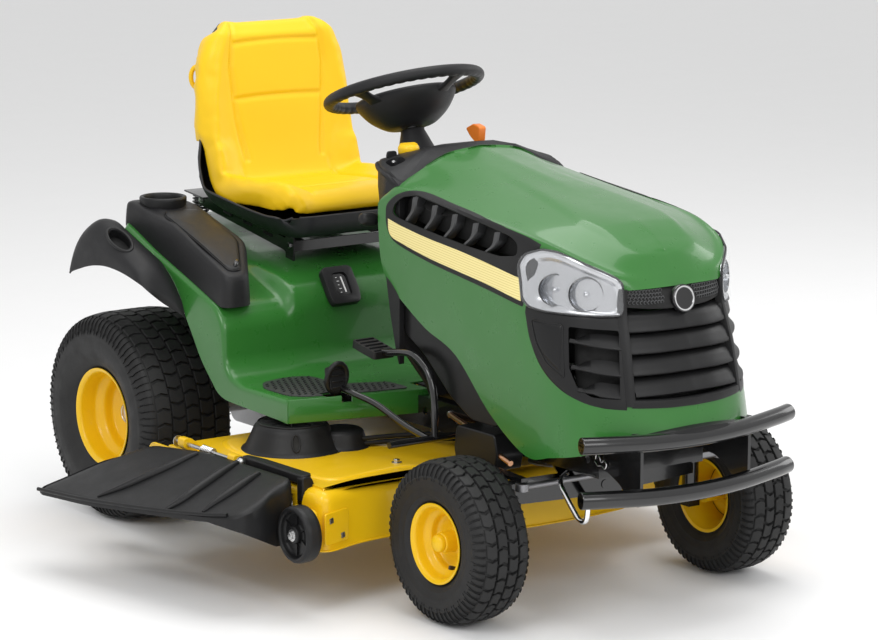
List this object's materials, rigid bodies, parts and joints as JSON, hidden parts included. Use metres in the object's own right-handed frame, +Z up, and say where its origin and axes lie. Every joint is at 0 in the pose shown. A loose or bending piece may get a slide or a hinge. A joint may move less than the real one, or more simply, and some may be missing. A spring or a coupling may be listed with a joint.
{
  "type": "riding lawn mower",
  "caption": "Lawn tractor with bucket seat, opening hood, steered front axle, side-discharge mower deck, storage box and front bumper.",
  "frame": {"origin": "bottom centre of the whole machine's box, on the ground", "axes": "+X to the machine's left, +Y from nose to tail, +Z up"},
  "size_m": [1.58, 1.874, 1.196],
  "materials": {
    "frame_black": "satin",
    "bumper_black": "gloss",
    "body_green": "gloss",
    "hood_green": "gloss",
    "wheel_yellow": "gloss",
    "deck_yellow": "gloss",
    "knob_yellow": "gloss",
    "trim_black": "grained",
    "wheel_grip": "grained",
    "seat_pan": "grained",
    "seat_vinyl": "satin vinyl",
    "tyre_black": "matt",
    "steel": "zinc plated",
    "spring_black": "satin",
    "casting": "painted black",
    "alloy": "as cast",
    "shroud_black": "satin",
    "lens_clear": "clear",
    "lamp_white": "gloss",
    "orange": "gloss",
    "tank_black": "satin"
  },
  "bodies": {
    "chassis": {"frame_rails": "frame_black", "frame_crossmembers": "frame_black", "bumper": "bumper_black", "transaxle": "alloy", "engine_block": "alloy", "engine_blower_housing": "shroud_black", "muffler": "steel", "fuel_tank": "tank_black", "battery": "tank_black", "fender_deck": "body_green", "fender_flares": "trim_black", "storage_box": "trim_black", "dash_tower": "trim_black"},
    "front_axle": {"front_axle_beam": "casting"},
    "tie_rod": {"tie_rod": "steel"},
    "sector": {"sector_gear": "steel"},
    "steering": {"steering_shaft": "steel", "steering_wheel": "wheel_grip"},
    "hood": {"hood_shell": "hood_green", "hood_grille": "trim_black", "hood_side_vents": "trim_black", "headlight_lenses": "lens_clear", "headlight_housings": "lamp_white"},
    "seat_base": {"seat_bracket": "frame_black", "seat_springs": "spring_black"},
    "seat": {"seat_shell": "seat_pan", "seat_cushion": "seat_vinyl"},
    "storage_lid": {"storage_lid": "trim_black"},
    "deck": {"mower_deck": "deck_yellow", "deck_belt_covers": "trim_black"},
    "lift_lever": {"lift_lever": "frame_black"},
    "chute": {"discharge_chute": "trim_black"},
    "crank_pulley": {"crank_pulley": "steel"},
    "fuel_cap": {"fuel_cap": "trim_black"},
    "throttle_lever": {"throttle_lever": "orange"},
    "pto_knob": {"pto_knob": "knob_yellow"},
    "ignition_key": {"ignition_key": "steel"},
    "parking_brake_lever": {"parking_brake_lever": "trim_black"},
    "rear_wheel_left": {"rear_rim_left": "wheel_yellow", "rear_tyre_left": "tyre_black", "rear_axle_left": "steel"},
    "front_wheel_left": {"front_rim_left": "wheel_yellow", "front_tyre_left": "tyre_black"},
    "knuckle_left": {"knuckle_left": "casting"},
    "rear_wheel_right": {"rear_rim_right": "wheel_yellow", "rear_tyre_right": "tyre_black", "rear_axle_right": "steel"},
    "front_wheel_right": {"front_rim_right": "wheel_yellow", "front_tyre_right": "tyre_black"},
    "knuckle_right": {"knuckle_right": "casting"},
    "blade_left": {"blade_left": "steel"},
    "blade_centre": {"blade_centre": "steel"},
    "blade_right": {"blade_right": "steel"},
    "gauge_front_right": {"gauge_wheel_front_right": "trim_black"},
    "gauge_rear_right": {"gauge_wheel_rear_right": "trim_black"},
    "gauge_front_left": {"gauge_wheel_front_left": "trim_black"},
    "gauge_rear_left": {"gauge_wheel_rear_left": "trim_black"},
    "pedal_forward": {"pedal_forward": "frame_black"},
    "pedal_reverse": {"pedal_reverse": "frame_black"},
    "pedal_brake": {"pedal_brake": "frame_black"}
  },
  "joints": [
    {"name": "steering_wheel_turn", "type": "hinge", "parent": "chassis", "child": "steering", "pos_m": [0.096, 0.173, 1.07], "axis": [0, 0.342, 0.9397], "range_deg": [-150, 150]},
    {"name": "sector_turn", "type": "hinge", "parent": "chassis", "child": "sector", "pos_m": [0.096, -0.202, 0.335], "axis": [0, 0, 1], "range_deg": [-26, 26]},
    {"name": "front_axle_pivot", "type": "hinge", "parent": "chassis", "child": "front_axle", "pos_m": [0.096, -0.56, 0.262], "axis": [0, 1, 0], "range_deg": [-4, 4]},
    {"name": "rear_wheel_left_spin", "type": "hinge", "parent": "chassis", "child": "rear_wheel_left", "pos_m": [0.528, 0.683, 0.254], "axis": [1, 0, 0], "continuous": true},
    {"name": "knuckle_left_steer", "type": "hinge", "parent": "front_axle", "child": "knuckle_left", "pos_m": [0.378, -0.56, 0.262], "axis": [0, 0, 1], "range_deg": [-26, 26]},
    {"name": "front_wheel_left_spin", "type": "hinge", "parent": "knuckle_left", "child": "front_wheel_left", "pos_m": [0.477, -0.56, 0.183], "axis": [1, 0, 0], "continuous": true},
    {"name": "rear_wheel_right_spin", "type": "hinge", "parent": "chassis", "child": "rear_wheel_right", "pos_m": [-0.336, 0.683, 0.254], "axis": [1, 0, 0], "continuous": true},
    {"name": "knuckle_right_steer", "type": "hinge", "parent": "front_axle", "child": "knuckle_right", "pos_m": [-0.186, -0.56, 0.262], "axis": [0, 0, 1], "range_deg": [-26, 26]},
    {"name": "front_wheel_right_spin", "type": "hinge", "parent": "knuckle_right", "child": "front_wheel_right", "pos_m": [-0.285, -0.56, 0.183], "axis": [1, 0, 0], "continuous": true},
    {"name": "tie_rod_slide", "type": "slide", "parent": "front_axle", "child": "tie_rod", "axis": [1, 0, 0], "range_m": [-0.045, 0.045]},
    {"name": "hood_open", "type": "hinge", "parent": "chassis", "child": "hood", "pos_m": [0.096, -0.847, 0.5], "axis": [1, 0, 0], "range_deg": [0, 60]},
    {"name": "seat_tilt", "type": "hinge", "parent": "chassis", "child": "seat_base", "pos_m": [0.096, 0.433, 0.675], "axis": [1, 0, 0], "range_deg": [0, 40]},
    {"name": "seat_slide", "type": "slide", "parent": "seat_base", "child": "seat", "axis": [0, 0.9882, 0.1532], "range_m": [-0.06, 0.05]},
    {"name": "storage_lid_open", "type": "hinge", "parent": "chassis", "child": "storage_lid", "pos_m": [-0.276, 0.585, 0.7605], "axis": [-1, 0, 0], "range_deg": [0, 80]},
    {"name": "deck_height", "type": "slide", "parent": "chassis", "child": "deck", "axis": [0, 0, 1], "range_m": [-0.085, 0]},
    {"name": "lift_lever_swing", "type": "hinge", "parent": "chassis", "child": "lift_lever", "pos_m": [0.496, 0.623, 0.56], "axis": [1, 0, 0], "range_deg": [0, 36]},
    {"name": "blade_centre_spin", "type": "hinge", "parent": "deck", "child": "blade_centre", "pos_m": [0.107, -0.097, 0.175], "axis": [0, 0, 1], "continuous": true},
    {"name": "blade_right_spin", "type": "hinge", "parent": "deck", "child": "blade_right", "pos_m": [-0.292, 0.033, 0.175], "axis": [0, 0, 1], "continuous": true},
    {"name": "blade_left_spin", "type": "hinge", "parent": "deck", "child": "blade_left", "pos_m": [0.506, 0.033, 0.175], "axis": [0, 0, 1], "continuous": true},
    {"name": "chute_lift", "type": "hinge", "parent": "deck", "child": "chute", "pos_m": [-0.506, -0.127, 0.286], "axis": [0, 1, 0], "range_deg": [0, 75]},
    {"name": "gauge_front_right_spin", "type": "hinge", "parent": "deck", "child": "gauge_front_right", "pos_m": [-0.545, -0.327, 0.186], "axis": [1, 0, 0], "continuous": true},
    {"name": "gauge_rear_right_spin", "type": "hinge", "parent": "deck", "child": "gauge_rear_right", "pos_m": [-0.526, 0.383, 0.17], "axis": [1, 0, 0], "continuous": true},
    {"name": "gauge_front_left_spin", "type": "hinge", "parent": "deck", "child": "gauge_front_left", "pos_m": [0.76, -0.327, 0.186], "axis": [1, 0, 0], "continuous": true},
    {"name": "gauge_rear_left_spin", "type": "hinge", "parent": "deck", "child": "gauge_rear_left", "pos_m": [0.746, 0.383, 0.17], "axis": [1, 0, 0], "continuous": true},
    {"name": "crank_pulley_spin", "type": "hinge", "parent": "chassis", "child": "crank_pulley", "pos_m": [0.096, -0.417, 0.3], "axis": [0, 0, 1], "continuous": true},
    {"name": "pedal_forward_press", "type": "hinge", "parent": "chassis", "child": "pedal_forward", "pos_m": [-0.176, -0.299, 0.345], "axis": [-1, 0, 0], "range_deg": [0, 14], "stiffness_Nm_per_rad": 25, "springref_deg": -20.05},
    {"name": "pedal_reverse_press", "type": "hinge", "parent": "chassis", "child": "pedal_reverse", "pos_m": [-0.239, -0.299, 0.345], "axis": [-1, 0, 0], "range_deg": [0, 3.5], "stiffness_Nm_per_rad": 25, "springref_deg": -20.05},
    {"name": "pedal_brake_press", "type": "hinge", "parent": "chassis", "child": "pedal_brake", "pos_m": [0.386, -0.299, 0.345], "axis": [-1, 0, 0], "range_deg": [0, 14], "stiffness_Nm_per_rad": 25, "springref_deg": -20.05},
    {"name": "throttle_set", "type": "hinge", "parent": "chassis", "child": "throttle_lever", "pos_m": [0.198, 0.013, 0.88], "axis": [1, 0, 0], "range_deg": [-15, 20]},
    {"name": "pto_pull", "type": "slide", "parent": "chassis", "child": "pto_knob", "axis": [0, 0, 1], "range_m": [0, 0.02]},
    {"name": "key_turn", "type": "hinge", "parent": "chassis", "child": "ignition_key", "pos_m": [-0.076, -0.017, 0.94], "axis": [0, 0, 1], "range_deg": [0, 60]},
    {"name": "parking_brake_set", "type": "hinge", "parent": "chassis", "child": "parking_brake_lever", "pos_m": [-0.131, -0.104, 0.79], "axis": [1, 0, 0], "range_deg": [-20, 20]},
    {"name": "fuel_cap_turn", "type": "hinge", "parent": "chassis", "child": "fuel_cap", "pos_m": [0.396, 0.353, 0.642], "axis": [0, 0, 1], "continuous": true}
  ],
  "couplings": [
    {"joint": "sector_turn", "follows": "steering_wheel_turn", "ratio": -0.16667},
    {"joint": "knuckle_left_steer", "follows": "steering_wheel_turn", "ratio": 0.16667},
    {"joint": "knuckle_right_steer", "follows": "steering_wheel_turn", "ratio": 0.16667},
    {"joint": "tie_rod_slide", "follows": "steering_wheel_turn", "m_per_rad": 0.01633},
    {"joint": "lift_lever_swing", "follows": "deck_height", "rad_per_m": -7.19},
    {"joint": "blade_left_spin", "follows": "blade_centre_spin", "ratio": 1},
    {"joint": "blade_right_spin", "follows": "blade_centre_spin", "ratio": 1}
  ]
}
